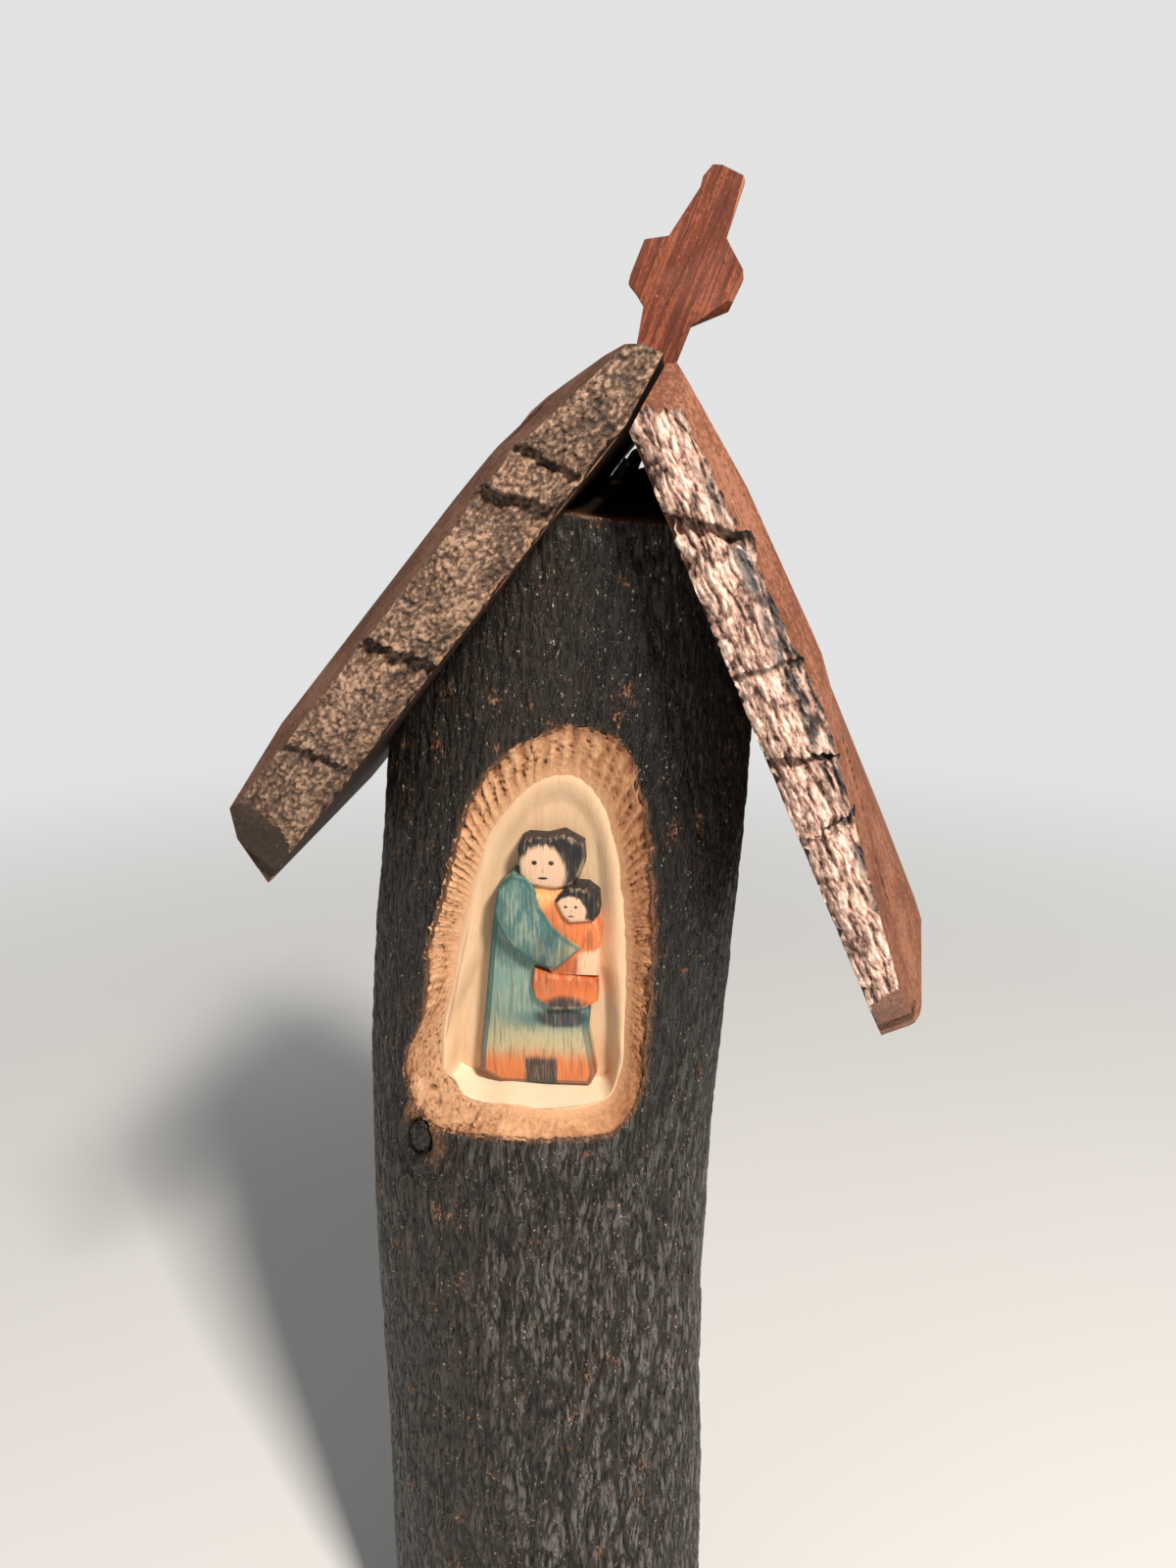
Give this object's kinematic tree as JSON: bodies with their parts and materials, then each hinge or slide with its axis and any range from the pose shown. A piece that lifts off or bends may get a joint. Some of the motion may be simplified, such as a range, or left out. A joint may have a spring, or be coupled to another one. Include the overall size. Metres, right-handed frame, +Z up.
{
  "type": "carved log wayside shrine model",
  "caption": "Tabletop model of a wayside shrine carved from a bark-covered branch, with an arched niche holding a mother-and-child relief, a live-edge plank roof and a small cross.",
  "frame": {"origin": "centre of the log's flat base, where it stands", "axes": "+Z up, -Y out of the niche, +X to the viewer's right"},
  "size_m": [0.1068, 0.0781, 0.2952],
  "materials": {
    "bark": "rough dark bark, orange-tan where cut",
    "wood": "bare pale wood, knife cut",
    "knot": "weathered dark end grain",
    "figure": "thinly painted carving, teal and orange",
    "stained_wood": "reddish-brown stain over whittled facets",
    "edge_bark": "fissured pinkish-brown bark",
    "cross_wood": "red-brown stain, worn pale edges"
  },
  "bodies": {
    "root": {"log_bark": "bark", "log_wood": "wood", "knot_stub": "knot", "mother_and_child": "figure", "left_board": "stained_wood", "right_board": "stained_wood", "left_front_bark_1": "edge_bark", "left_front_bark_2": "edge_bark", "left_front_bark_3": "edge_bark", "left_front_bark_4": "edge_bark", "left_front_bark_5": "edge_bark", "left_back_bark_1": "edge_bark", "left_back_bark_2": "edge_bark", "left_back_bark_3": "edge_bark", "left_back_bark_4": "edge_bark", "left_back_bark_5": "edge_bark", "right_front_bark_1": "edge_bark", "right_front_bark_2": "edge_bark", "right_front_bark_3": "edge_bark", "right_front_bark_4": "edge_bark", "right_front_bark_5": "edge_bark", "right_back_bark_1": "edge_bark", "right_back_bark_2": "edge_bark", "right_back_bark_3": "edge_bark", "right_back_bark_4": "edge_bark", "right_back_bark_5": "edge_bark", "cross": "cross_wood"}
  },
  "joints": []
}
